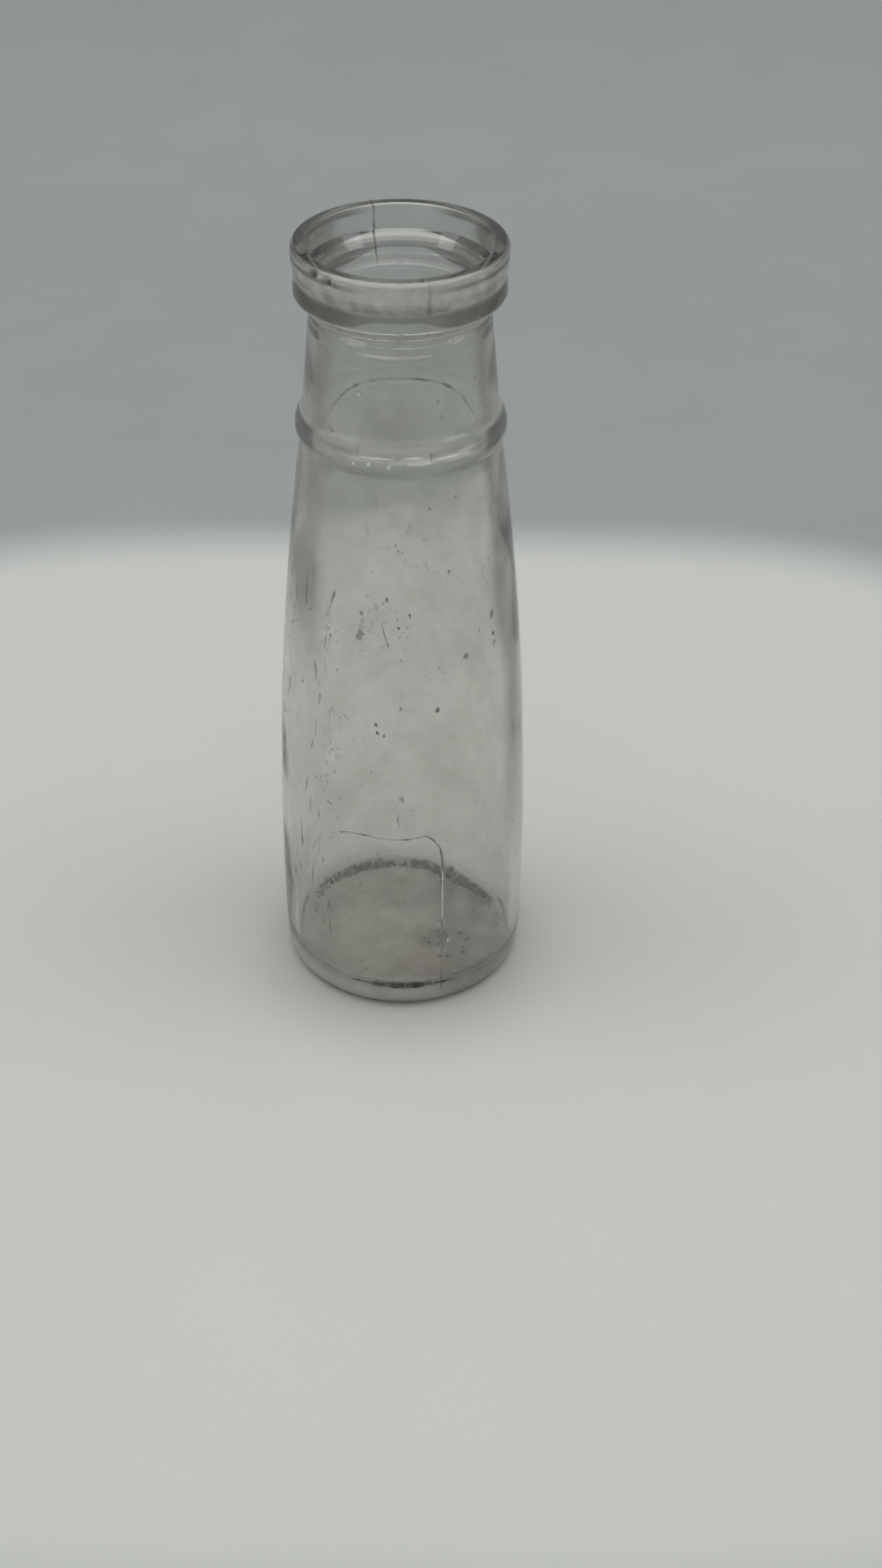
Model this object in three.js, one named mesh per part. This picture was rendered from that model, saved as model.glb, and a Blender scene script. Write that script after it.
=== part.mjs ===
// Wide-mouth pint milk bottle in clear moulded glass.
// Millimetres, +Z up, origin on the table at the centre of the bearing ring.
// The bottle is one moulding. Its sections (base, heel, body, neck ring, neck, collar and lip)
// are solids of revolution that meet face to face on level parting planes.
import * as THREE from 'three';

// Driving dimensions: heights
const totalHeight = 228;
const capPocketDepth = 6.8; // lip crest down to the cap seat
const capSeatThickness = 1.9; // cap seat down to the groove below the lip
const collarHeight = 8.6; // groove down to the neck
const collarSweepHeight = 4.2; // neck up to the widest part of the collar
const neckLength = 28.5;
const neckRingHeight = 9.1;
const widestHeight = 37; // table up to the widest part of the body
const heelHeight = 14; // table up to the body wall
const heelRoundHeight = 9; // table up to the end of the rounded heel
const baseThickness = 5; // table up to the floor inside
const floorRim = 1.5; // floor up to the parting plane of the base
const pushUpHeight = 1.2; // hollow under the base

// Driving dimensions: widths
const throatDiameter = 42; // bore below the cap seat
const capSeatWidth = 3.3; // ledge that carries the closing disc
const lipWall = 4.15; // glass outside the cap pocket
const grooveDepth = 0.8; // groove between lip and collar
const collarInset = 0.35; // collar inside the lip's radius
const throatWall = 2.95; // glass round the throat, at the top of the neck
const neckFlare = 2.6; // growth of the neck's radius towards the ring
const neckWall = 3;
const neckRingProud = 1.65; // crest of the ring beyond the wall
const bodyStep = 0.8; // body beyond the neck, below the ring
const bodyDiameter = 72.1;
const bodyWall = 3.2;
const heelRoundWidth = 3.2; // reach of the rounded heel
const bearingRingWidth = 5; // flat ring that stands on the table

// Driving dimensions: edges and steps
const lipCrestRound = 1.4;
const pocketEdgeRound = 0.9;
const seatCornerRound = 0.4;
const throatEdgeRound = 1.6;
const throatLength = 16.2; // cap seat down to the end of the straight bore
const throatStep = 0.35; // step where the straight bore ends
const throatStepLength = 1;
const floorFillet = 4.5;

// Facets
const sides = 48;
const cornerSteps = 4;
const flankSteps = 3;
const heelSteps = 5;
const ringSteps = 12;
const sweepSteps = 8;
const bodySteps = 10;
const pushUpSteps = 3;

// Level planes, from the lip down to the table
const lipWidestZ = totalHeight - lipCrestRound;
const capSeatZ = totalHeight - capPocketDepth;
const grooveZ = capSeatZ - capSeatThickness;
const collarFootZ = grooveZ - collarHeight;
const collarWidestZ = collarFootZ + collarSweepHeight;
const throatEndZ = capSeatZ - throatLength;
const ringTopZ = collarFootZ - neckLength;
const ringFootZ = ringTopZ - neckRingHeight;
const heelTopZ = heelHeight;
const floorZ = baseThickness;
const baseTopZ = floorZ + floorRim;
const filletTopZ = floorZ + floorFillet;

// Radii, from the bore outwards and from the neck down
const throatRadius = throatDiameter / 2;
const pocketRadius = throatRadius + capSeatWidth;
const lipRadius = pocketRadius + lipWall;
const grooveRadius = lipRadius - grooveDepth;
const collarRadius = lipRadius - collarInset;
const neckTopRadius = throatRadius + throatWall;
const neckFootRadius = neckTopRadius + neckFlare;
const neckFootBore = neckFootRadius - neckWall;
const bodyTopRadius = neckFootRadius + bodyStep;
const bodyRadius = bodyDiameter / 2;

// One clear glass, in the faint grey-green of old soda-lime bottles
const clearGlass = {
  color: 0xdfe6e1,
  roughness: 0.06,
  metalness: 0,
  transparent: true,
  opacity: 0.35,
};

// Evenly spaced values, both ends included
function spread(from, to, steps) {
  const values = [];
  for (let step = 0; step <= steps; step += 1) {
    values.push(from + ((to - from) * step) / steps);
  }
  return values;
}

// A point of an outline: distance from the axis, and height
const point = (radius, height) => new THREE.Vector2(radius, height);

// Points of a round corner, with its angles in degrees, 0 outwards and 90 up
function corner(centreRadius, centreHeight, round, fromAngle, toAngle) {
  return spread(fromAngle, toAngle, cornerSteps).map((degrees) => {
    const angle = THREE.MathUtils.degToRad(degrees);
    return point(centreRadius + round * Math.cos(angle), centreHeight + round * Math.sin(angle));
  });
}

// Radius at any height on an arc that stands upright at its widest point and passes through its end
function uprightArc(widestRadius, widestAt, endRadius, endAt) {
  const rise = widestRadius - endRadius;
  const run = endAt - widestAt;
  const arcRadius = (run * run + rise * rise) / (2 * rise);
  return (height) => {
    const offset = height - widestAt;
    return widestRadius - arcRadius + Math.sqrt(arcRadius * arcRadius - offset * offset);
  };
}

const bodyArc = uprightArc(bodyRadius, widestHeight, bodyTopRadius, ringFootZ);
const lipArc = uprightArc(lipRadius, lipWidestZ, grooveRadius, grooveZ);
const collarArc = uprightArc(collarRadius, collarWidestZ, grooveRadius, grooveZ);

const bearingOuterRadius = bodyArc(heelRoundHeight) - heelRoundWidth;
const bearingInnerRadius = bearingOuterRadius - bearingRingWidth;
const floorRadius = bodyArc(filletTopZ) - bodyWall - floorFillet;

// Outside of the bottle below the neck ring: the long arc, then the rounded heel
function outerRadius(height) {
  if (height >= heelRoundHeight) return bodyArc(height);
  const share = (heelRoundHeight - height) / heelRoundHeight;
  return bearingOuterRadius + heelRoundWidth * Math.sqrt(1 - share * share);
}

// Inside of the bottle below the neck ring: the wall, then the fillet down to the floor
function innerRadius(height) {
  if (height >= filletTopZ) return bodyArc(height) - bodyWall;
  const drop = filletTopZ - height;
  return floorRadius + Math.sqrt(Math.max(floorFillet * floorFillet - drop * drop, 0));
}

// Outline points at the given heights on one of the two sides above
const along = (radiusAt, heights) => heights.map((height) => point(radiusAt(height), height));

// A section is a closed outline turned about the bottle's axis
function section(name, outline) {
  const geometry = new THREE.LatheGeometry(outline, sides);
  geometry.rotateX(Math.PI / 2);
  const mesh = new THREE.Mesh(geometry, new THREE.MeshStandardMaterial(clearGlass));
  mesh.name = name;
  return mesh;
}

// A ring's outline goes up the outside, down the inside and closes on itself
const ring = (name, outside, inside) => section(name, [...outside, ...inside, outside[0].clone()]);

// Floor, bearing ring and the hollow under the base
function makeBase() {
  const pushUp = spread(0, bearingInnerRadius, pushUpSteps).map((radius) => {
    const share = radius / bearingInnerRadius;
    return point(radius, pushUpHeight * (1 - share * share));
  });
  const heelHeights = spread(0, 90, heelSteps)
    .map((degrees) => heelRoundHeight * (1 - Math.cos(THREE.MathUtils.degToRad(degrees))))
    .filter((height) => height < baseTopZ);
  const outside = along(outerRadius, [...heelHeights, baseTopZ]);
  const inside = along(innerRadius, spread(baseTopZ, floorZ, cornerSteps));
  return section('base', [...pushUp, ...outside, ...inside, point(0, floorZ)]);
}

// Rounded foot of the wall
function makeHeel() {
  const outside = along(outerRadius, spread(baseTopZ, heelTopZ, heelSteps));
  const inside = along(innerRadius, spread(heelTopZ, baseTopZ, heelSteps));
  return ring('heel', outside, inside);
}

// Tapering wall that holds the milk
function makeBody() {
  const outside = along(outerRadius, spread(heelTopZ, ringFootZ, bodySteps));
  const inside = along(innerRadius, spread(ringFootZ, heelTopZ, bodySteps));
  return ring('body', outside, inside);
}

// Soft bead at the foot of the neck, which runs out smoothly above and below
function makeNeckRing() {
  const outside = spread(0, 1, ringSteps).map((share) => {
    const fromCrest = 2 * share - 1;
    const wallRadius = bodyTopRadius - bodyStep * share;
    const swell = neckRingProud * (1 - fromCrest * fromCrest) ** 1.5;
    return point(wallRadius + swell, ringFootZ + neckRingHeight * share);
  });
  const inside = [point(neckFootBore, ringTopZ), point(innerRadius(ringFootZ), ringFootZ)];
  return ring('neck_ring', outside, inside);
}

// Flaring neck, with the straight bore of the throat ending inside it
function makeNeck() {
  const outside = [point(neckFootRadius, ringTopZ), point(neckTopRadius, collarFootZ)];
  const inside = [
    point(throatRadius, collarFootZ),
    point(throatRadius, throatEndZ),
    point(throatRadius + throatStep, throatEndZ - throatStepLength),
    point(neckFootBore, ringTopZ),
  ];
  return ring('neck', outside, inside);
}

// Lower band of the mouth, with its underside swept down into the neck
function makeCollar() {
  const sweep = spread(0, 1, sweepSteps).map((share) => {
    const swell = (collarRadius - neckTopRadius) * THREE.MathUtils.smoothstep(share, 0, 1);
    return point(neckTopRadius + swell, collarFootZ + collarSweepHeight * share);
  });
  const flank = along(collarArc, spread(collarWidestZ, grooveZ, flankSteps).slice(1));
  const outside = [...sweep, ...flank];
  const inside = [point(throatRadius, grooveZ), point(throatRadius, collarFootZ)];
  return ring('collar', outside, inside);
}

// Upper band of the mouth, with the cap pocket and its flat seat
function makeLip() {
  const outside = [
    ...along(lipArc, spread(grooveZ, lipWidestZ, flankSteps).slice(0, -1)),
    ...corner(lipRadius - lipCrestRound, lipWidestZ, lipCrestRound, 0, 90),
  ];
  const inside = [
    ...corner(pocketRadius + pocketEdgeRound, totalHeight - pocketEdgeRound, pocketEdgeRound, 90, 180),
    ...corner(pocketRadius - seatCornerRound, capSeatZ + seatCornerRound, seatCornerRound, 0, -90),
    ...corner(throatRadius + throatEdgeRound, capSeatZ - throatEdgeRound, throatEdgeRound, 90, 180),
    point(throatRadius, grooveZ),
  ];
  return ring('lip', outside, inside);
}

const bottle = new THREE.Group();
bottle.name = 'milk_bottle';
bottle.add(makeBase(), makeHeel(), makeBody(), makeNeckRing(), makeNeck(), makeCollar(), makeLip());

export default bottle;
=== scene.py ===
# %% [markdown]
# # A wide-mouth milk bottle in clear moulded glass
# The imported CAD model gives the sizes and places: seven stacked sections of one glass moulding.
# This lesson dresses them as one unbroken bottle, with the mould's seams, the waves of blown glass,
# the chips and scuffs of long use, and the dry film that the milk left on the floor.
# Everything is in metres, with +Z up and the bottle's axis on the world's Z axis.

# %% Load the frame
import random
from math import cos, exp, pi, radians, sin, sqrt

import bpy
from mathutils import Euler, Matrix, Vector, noise


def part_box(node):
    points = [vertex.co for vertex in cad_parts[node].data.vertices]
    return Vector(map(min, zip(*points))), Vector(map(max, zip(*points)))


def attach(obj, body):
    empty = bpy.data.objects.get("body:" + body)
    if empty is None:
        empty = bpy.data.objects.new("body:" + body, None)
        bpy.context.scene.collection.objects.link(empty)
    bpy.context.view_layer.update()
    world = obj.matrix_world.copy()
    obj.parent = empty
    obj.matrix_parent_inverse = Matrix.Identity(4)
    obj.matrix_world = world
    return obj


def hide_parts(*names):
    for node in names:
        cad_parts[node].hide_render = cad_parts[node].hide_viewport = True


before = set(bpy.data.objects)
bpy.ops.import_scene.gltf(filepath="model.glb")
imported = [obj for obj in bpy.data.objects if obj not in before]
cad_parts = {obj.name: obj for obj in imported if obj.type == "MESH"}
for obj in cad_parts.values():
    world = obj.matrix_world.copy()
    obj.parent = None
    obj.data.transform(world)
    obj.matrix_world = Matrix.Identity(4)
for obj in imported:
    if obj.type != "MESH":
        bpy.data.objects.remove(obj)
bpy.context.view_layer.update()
MM = 0.001


def mm(*lengths):
    """Lengths given in millimetres, as metres."""
    return tuple(length * MM for length in lengths)


print("CAD nodes:", ", ".join(sorted(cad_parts)))

# %% [markdown]
# ## The camera
# The photograph was taken by hand from a little above the bottle. Its viewpoint could be guessed by
# eye, but glass shows at once when the ellipses of its rims are wrong. So the height, distance and tilt
# of the camera are the ones that make the ellipses match. The lens is written as a focal length in
# pixels of the 900 by 1600 picture, then turned into millimetres.

# %% Place the camera
PHOTO_HEIGHT, FOCAL_PIXELS = 1600, 2439
SENSOR = 36.0
CLIP_START = 0.01
CAMERA_RIGHT, CAMERA_BACK, CAMERA_UP = mm(11.4, 578.6, 470.5)
CAMERA_TILT, CAMERA_ROLL = radians(35.57), radians(0.37)


def place_camera():
    lens = bpy.data.cameras.new("photo_camera")
    lens.sensor_width = SENSOR
    lens.lens = SENSOR * FOCAL_PIXELS / PHOTO_HEIGHT
    lens.clip_start = CLIP_START
    camera = bpy.data.objects.new("photo_camera", lens)
    bpy.context.scene.collection.objects.link(camera)
    look = Euler((pi / 2 - CAMERA_TILT, 0, 0)).to_matrix() @ Matrix.Rotation(CAMERA_ROLL, 3, "Z")
    spot = Matrix.Translation((CAMERA_RIGHT, -CAMERA_BACK, CAMERA_UP))
    camera.matrix_world = spot @ look.to_4x4()
    bpy.context.scene.camera = camera
    return camera


camera = place_camera()
print("camera lens, mm:", round(camera.data.lens, 1))

# %% [markdown]
# ## The outline of the glass
# A bottle like this is pressed and blown: a plunger shapes the mouth, then air pushes the glass out into
# the body's mould. Both give surfaces of revolution, so the whole bottle is one outline turned about the
# axis. The heights and outer radii come from the CAD sections. The radii of the bore and the walls, which
# a box can't show, repeat the values that the sections were made with.

# %% Read the levels and radii
lip_low, lip_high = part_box("lip")
collar_low, collar_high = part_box("collar")
_, neck_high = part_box("neck")
bead_low, bead_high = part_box("neck_ring")

LIP_TOP, GROOVE, COLLAR_FOOT = lip_high.z, lip_low.z, collar_low.z
BEAD_TOP, BEAD_FOOT = bead_high.z, bead_low.z
LIP_RADIUS, COLLAR_RADIUS, NECK_FOOT_RADIUS = lip_high.x, collar_high.x, neck_high.x

GROOVE_DEPTH, LIP_CREST = mm(0.8, 1.4)
POCKET_RADIUS, POCKET_DEPTH, POCKET_EDGE = mm(24.3, 6.8, 0.9)
SEAT_CORNER, BEVEL_DROP = mm(0.15, 3.5)
THROAT_RADIUS, THROAT_LENGTH, THROAT_STEP = mm(21, 16.2, 0.35)
SWEEP_FOOT, SWEEP_TOP = mm(209.75, 215.15)
NECK_TOP_RADIUS, NECK_WALL = mm(23.95, 3)
BEAD_PROUD, BEAD_RISE, BODY_STEP = mm(1.65, 5.2, 0.8)
BEAD_FILL, BEAD_HOLLOW = mm(1, 1.4)
BODY_RADIUS, BODY_WIDEST, BODY_WALL = mm(36.05, 37, 3.2)
HEEL_HEIGHT, HEEL_REACH = mm(9, 3.2)
BEARING_WIDTH, PUSH_UP = mm(5, 1.2)
FLOOR, FLOOR_FILLET = mm(5, 4.5)

CAP_SEAT = LIP_TOP - POCKET_DEPTH
THROAT_END = CAP_SEAT - THROAT_LENGTH
BEAD_CREST = (BEAD_TOP + BEAD_FOOT) / 2
FILLET_TOP = FLOOR + FLOOR_FILLET
CREST_RADIUS, CREST_FOOT = LIP_RADIUS - LIP_CREST, LIP_TOP - LIP_CREST
levels = (LIP_TOP, CAP_SEAT, GROOVE, COLLAR_FOOT, BEAD_TOP, BEAD_FOOT)
print("levels, mm:", [round(z / MM, 1) for z in levels])


# %% Draw corners and arcs
def spread(start, end, steps):
    """Evenly spaced values, both ends included."""
    return [start + (end - start) * step / steps for step in range(steps + 1)]


def smooth_share(value, start, end):
    """A soft step: 0 at the start, 1 at the end."""
    share = min(max((value - start) / (end - start), 0), 1)
    return share * share * (3 - 2 * share)


def corner(centre_radius, centre_height, reach, start, end, steps=8):
    """Points of a round corner, with its angles in degrees: 0 outwards and 90 up."""
    angles = [radians(degrees) for degrees in spread(start, end, steps)]
    return [(centre_radius + reach * cos(a), centre_height + reach * sin(a)) for a in angles]


def upright_arc(widest_radius, widest_height, end_radius, end_height):
    """Radius at a height on an arc that is upright at its widest point and passes through its end."""
    rise, run = widest_radius - end_radius, end_height - widest_height
    arc_radius = (run * run + rise * rise) / (2 * rise)
    return lambda z: widest_radius - arc_radius + sqrt(arc_radius**2 - (z - widest_height) ** 2)


def along(radius_at, level, stages):
    """Points of an outline, stage by stage: the height where each one ends, and its steps."""
    points = []
    for end, steps in stages:
        points += [(radius_at(z), z) for z in spread(level, end, steps)[1:]]
        level = end
    return points


body_arc = upright_arc(BODY_RADIUS, BODY_WIDEST, NECK_FOOT_RADIUS + BODY_STEP, BEAD_FOOT)
lip_arc = upright_arc(LIP_RADIUS, CREST_FOOT, LIP_RADIUS - GROOVE_DEPTH, GROOVE)
collar_arc = upright_arc(COLLAR_RADIUS, SWEEP_TOP, LIP_RADIUS - GROOVE_DEPTH, GROOVE)
BEARING_OUTER = body_arc(HEEL_HEIGHT) - HEEL_REACH
BEARING_INNER = BEARING_OUTER - BEARING_WIDTH
FLOOR_RADIUS = body_arc(FILLET_TOP) - BODY_WALL - FLOOR_FILLET
print("bearing ring, mm:", [round(2 * radius / MM, 1) for radius in (BEARING_INNER, BEARING_OUTER)])


# %% Draw the outside
def neck_radius(z):
    """Outer radius of the neck, a plain cone between the bead and the collar."""
    share = (z - BEAD_TOP) / (COLLAR_FOOT - BEAD_TOP)
    return NECK_FOOT_RADIUS + (NECK_TOP_RADIUS - NECK_FOOT_RADIUS) * share


def bead_swell(z):
    """How far the bead stands out at a height."""
    reach = BEAD_RISE if z > BEAD_CREST else BEAD_CREST - BEAD_FOOT
    return BEAD_PROUD * max(1 - ((z - BEAD_CREST) / reach) ** 2, 0) ** 1.5


def outer_radius(z):
    """Outer radius of the glass above the heel."""
    crest = z - CREST_FOOT
    if crest > 0:
        return CREST_RADIUS + sqrt(max(LIP_CREST**2 - crest**2, 0))
    if z > SWEEP_TOP:
        return lip_arc(z) if z > GROOVE else collar_arc(z)
    if z < BEAD_FOOT:
        return body_arc(z)
    if z < BEAD_TOP:
        return NECK_FOOT_RADIUS + BODY_STEP * (BEAD_TOP - z) / (BEAD_TOP - BEAD_FOOT) + bead_swell(z)
    sweep = smooth_share(z, SWEEP_FOOT, SWEEP_TOP)
    return (neck_radius(z) + bead_swell(z)) * (1 - sweep) + COLLAR_RADIUS * sweep


def outside_outline():
    """From the middle of the underside, up the outside, to the top of the lip."""
    points = [(r, PUSH_UP * (1 - (r / BEARING_INNER) ** 2)) for r in spread(0.0, BEARING_INNER, 10)]
    points += [(r, 0.0) for r in spread(BEARING_INNER, BEARING_OUTER, 4)[1:-1]]
    for degrees in spread(0, 90, 12):
        angle = radians(degrees)
        points.append((BEARING_OUTER + HEEL_REACH * sin(angle), HEEL_HEIGHT * (1 - cos(angle))))
    stages = [
        (BEAD_FOOT, 56), (BEAD_TOP + MM, 26), (SWEEP_FOOT, 14),
        (SWEEP_TOP, 20), (GROOVE, 6), (CREST_FOOT, 20),
    ]
    points += along(outer_radius, HEEL_HEIGHT, stages)[:-1]
    return points + corner(CREST_RADIUS, CREST_FOOT, LIP_CREST, 0, 90, 12)


outline_out = outside_outline()
print("outline points outside:", len(outline_out))

# %% Draw the inside
HOLLOW_LOW, HOLLOW_HIGH = BEAD_CREST - 0.2 * MM, BEAD_CREST + 6.2 * MM
HOLLOW_FADE_UP, HOLLOW_FADE_DOWN = mm(18, 40)
STEP_FOOT = THROAT_END - 2 * MM
BEVEL_SHARES = (0.05, 0.3, 0.5, 0.7, 0.94, 1.0)


def wall_radius(z):
    """Inner radius of the body's wall, the fillet at its foot included."""
    drop = FILLET_TOP - z
    if drop <= 0:
        return body_arc(z) - BODY_WALL
    return FLOOR_RADIUS + sqrt(max(FLOOR_FILLET**2 - drop**2, 0))


def bead_hollow(z):
    """How the bore follows the bead: a little narrower above it, wider behind and below it."""
    if z > HOLLOW_HIGH:
        return -BEAD_FILL * (1 - smooth_share(z, HOLLOW_HIGH, HOLLOW_HIGH + HOLLOW_FADE_UP))
    if z < HOLLOW_LOW:
        return BEAD_HOLLOW * smooth_share(z, HOLLOW_LOW - HOLLOW_FADE_DOWN, HOLLOW_LOW)
    return BEAD_HOLLOW - (BEAD_HOLLOW + BEAD_FILL) * smooth_share(z, HOLLOW_LOW, HOLLOW_HIGH)


def bore_radius(z):
    """Inner radius from the throat down to the floor's fillet."""
    if z < BEAD_FOOT:
        return wall_radius(z) + bead_hollow(z)
    neck_bore, body_bore = NECK_FOOT_RADIUS - NECK_WALL, wall_radius(BEAD_FOOT)
    if z < BEAD_TOP:
        share = (z - BEAD_FOOT) / (BEAD_TOP - BEAD_FOOT)
        return body_bore + (neck_bore - body_bore) * share + bead_hollow(z)
    flare = (neck_bore - THROAT_RADIUS - THROAT_STEP) * max((STEP_FOOT - z) / (STEP_FOOT - BEAD_TOP), 0)
    step = THROAT_STEP * (1 - smooth_share(z, STEP_FOOT, STEP_FOOT + MM))
    return THROAT_RADIUS + step + flare + bead_hollow(z)


def bevel_point(share, sink=0.0):
    """A point of the sloping ledge, from its outer edge at 0 to the throat at 1."""
    width = POCKET_RADIUS - SEAT_CORNER - THROAT_RADIUS
    return THROAT_RADIUS + width * (1 - share) + sink, CAP_SEAT - BEVEL_DROP * share - sink


def inside_outline():
    """From the top of the lip, down the bore, to the middle of the floor."""
    seat_top = CAP_SEAT + SEAT_CORNER
    points = corner(POCKET_RADIUS + POCKET_EDGE, LIP_TOP - POCKET_EDGE, POCKET_EDGE, 90, 180)
    points += [(POCKET_RADIUS, z) for z in spread(LIP_TOP - POCKET_EDGE, seat_top, 4)[1:-1]]
    points += corner(POCKET_RADIUS - SEAT_CORNER, seat_top, SEAT_CORNER, 0, -90, 4)
    points += [bevel_point(share) for share in BEVEL_SHARES]
    stages = [
        (THROAT_END + 2 * MM, 6), (THROAT_END - 3 * MM, 20), (BEAD_TOP + 3 * MM, 10),
        (BEAD_FOOT, 32), (FILLET_TOP, 56),
    ]
    points += along(bore_radius, CAP_SEAT - BEVEL_DROP, stages)
    points += corner(FLOOR_RADIUS, FILLET_TOP, FLOOR_FILLET, 0, -90, 10)[1:]
    return points + [(r, FLOOR) for r in spread(FLOOR_RADIUS, 0.0, 10)[1:]]


outline_in = inside_outline()
print("outline points inside:", len(outline_in))

# %% [markdown]
# ## Turning the glass
# Blender's Screw modifier could turn the outline, but the bottle isn't perfectly round: the halves of the
# mould leave raised seams, blown glass is a little wavy inside, the bead under the neck is lumpy, the rim
# has two chips and the wall has small bubbles, which glassmakers call seeds.
# So the mesh is turned by hand, column by column, with extra columns where a seam or a chip needs them.

# %% Set the flaws of the glass
FINISH_SEAM, BODY_SEAM = radians(16.2), radians(19.4)
SEAM_WIDTH, LIP_SEAM, COLLAR_SEAM, LOW_SEAM = mm(0.35, 0.20, 0.08, 0.07)
SEAM_FADE, SHIFTED = mm(50, 60), mm(50, 130)
WALL_WAVES, NECK_WAVES, BEAD_LUMPS = mm(0.22, 0.04, 0.16)
WAVE_PITCH, LUMP_PITCH = mm(24, 4)
BORE_TURN, OUTSIDE_WAVES = 2.0, 0.2
BORE_SHIFT, SKIN_EASE = mm(0.8, 0.08)
CHIP_INWARDS, CHIP_DOWN = 0.85, 0.5
CHIPS = [
    {"angle": radians(-48.5), "height": 226.7 * MM, "reach": 1.3 * MM, "depth": 0.6 * MM},
    {"angle": radians(-37.8), "height": 225.9 * MM, "reach": 1.7 * MM, "depth": 0.7 * MM},
]


def around(angle, radius, height):
    """A point on the bottle: angle 0 faces the camera and grows towards +X."""
    return Vector((radius * sin(angle), -radius * cos(angle), height))


def seam_rise(angle, radius, height):
    """Height of the mould seam at a point outside the bottle: on the mouth, and low on the body."""
    if height > GROOVE:
        seam, proud = FINISH_SEAM, LIP_SEAM
    elif height > COLLAR_FOOT:
        seam, proud = FINISH_SEAM, COLLAR_SEAM
    else:
        seam, proud = BODY_SEAM, LOW_SEAM * (1 - smooth_share(height, *SEAM_FADE))
    turn = (angle - seam + pi / 2) % pi - pi / 2
    offset = abs(turn) * radius / SEAM_WIDTH
    return proud * exp(-2 * offset * offset)


def wave(angle, height, size, pitch=WAVE_PITCH):
    turns = BODY_RADIUS / pitch
    return size * noise.noise(Vector((sin(angle) * turns, cos(angle) * turns, height / pitch)))


def bore_share(height):
    """How much of its shift to one side the bore has at a height: all of it halfway up the body."""
    low, high = SHIFTED
    return smooth_share(height, FILLET_TOP, low) * (1 - smooth_share(height, high, BEAD_FOOT))


def chip_dent(point):
    """How far a chip moves a point of the lip, inwards and down."""
    dent = Vector((0, 0, 0))
    for chip in CHIPS:
        centre = around(chip["angle"], LIP_RADIUS, chip["height"])
        share = (point - centre).length / chip["reach"]
        if share < 1:
            inwards = around(chip["angle"], -CHIP_INWARDS, -CHIP_DOWN)
            dent += inwards * chip["depth"] * (1 - share * share)
    return dent


def glass_point(angle, radius, height, outside=True):
    """A point of the glass, with its waves, seams and chips."""
    waves = WALL_WAVES if height < BEAD_FOOT else NECK_WAVES
    if not outside:
        if height > FILLET_TOP:
            radius += wave(angle + BORE_TURN, height, waves)
        return around(angle, radius, height) - Vector((BORE_SHIFT * bore_share(height), 0, 0))
    if height > HEEL_HEIGHT / 2:
        radius += seam_rise(angle, radius, height) + wave(angle, height, waves * OUTSIDE_WAVES) - SKIN_EASE
        radius += bead_swell(height) / BEAD_PROUD * wave(angle, height, BEAD_LUMPS, LUMP_PITCH)
    point = around(angle, radius, height)
    return point + chip_dent(point)


print("chips:", len(CHIPS), "seam angles:", [round(a / radians(1), 1) for a in (FINISH_SEAM, BODY_SEAM)])


# %% Make meshes of rings
def new_object(name, points, faces, smooth=True):
    mesh = bpy.data.meshes.new(name)
    mesh.from_pydata([tuple(p) for p in points], [], faces)
    mesh.validate()
    mesh.polygons.foreach_set("use_smooth", [smooth] * len(mesh.polygons))
    piece = bpy.data.objects.new(name, mesh)
    bpy.context.scene.collection.objects.link(piece)
    return piece


def full_turn(count):
    return [2 * pi * step / count for step in range(count)]


def join_rings(ring_count, count):
    """Faces between neighbouring rings of points, each of them `count` points long."""
    faces = []
    for low in range(0, (ring_count - 1) * count, count):
        for column in range(count):
            after = (column + 1) % count
            faces.append((low + column, low + after, low + count + after, low + count + column))
    return faces


def add_lump(points, faces, rings, first_tip, last_tip):
    """A closed lump: rings of points, and a tip at each end."""
    first, count = len(points), len(rings[0])
    for ring in rings:
        points += ring
    tip, last = len(points), len(points) - count
    points += [first_tip, last_tip]
    faces += [tuple(first + number for number in face) for face in join_rings(len(rings), count)]
    for column in range(count):
        after = (column + 1) % count
        faces.append((tip, first + after, first + column))
        faces.append((tip + 1, last + column, last + after))


def turned_skin(name, rings, count, place):
    """A thin open skin through rings, each of them a radius and a height."""
    points = [place(angle, *ring) for ring in rings for angle in full_turn(count)]
    return new_object(name, points, join_rings(len(rings), count))


print("faces between two rings of four:", len(join_rings(2, 4)))

# %% Turn the glass and blow the seeds
COLUMNS = 240
SEAM_COLUMNS = (-0.7, -0.35, -0.17, 0.0, 0.17, 0.35, 0.7)
SEED_DEPTH, SEED_STRETCH = 1.0 * MM, 1.3
SEEDS_SEEN = [(-24.1, 195.8, 0.42), (23.7, 193.6, 0.34), (22.4, 23.8, 0.50)]
SEEDS_ELSEWHERE = 9


def column_angles():
    """Even columns, with more of them at the seams and the chips."""
    angles = full_turn(COLUMNS)
    for seam in (FINISH_SEAM, BODY_SEAM, FINISH_SEAM + pi, BODY_SEAM + pi):
        angles += [seam + offset * MM / BODY_RADIUS for offset in SEAM_COLUMNS]
    for chip in CHIPS:
        angles += [chip["angle"] + offset * MM / LIP_RADIUS for offset in spread(-1.6, 1.6, 12)]
    return sorted(set(round(angle % (2 * pi), 5) for angle in angles))


def add_seed(points, faces, centre, radius):
    """A bubble in the wall: a small ball that faces inwards."""
    rings = []
    for tilt in spread(0, pi, 6)[1:-1]:
        across, rise = sin(tilt), SEED_STRETCH * cos(tilt)
        offsets = [Vector((across * cos(turn), across * sin(turn), rise)) for turn in full_turn(10)]
        rings.append([centre + offset * radius for offset in offsets])
    tip = Vector((0, 0, SEED_STRETCH * radius))
    add_lump(points, faces, rings, centre + tip, centre - tip)


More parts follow.
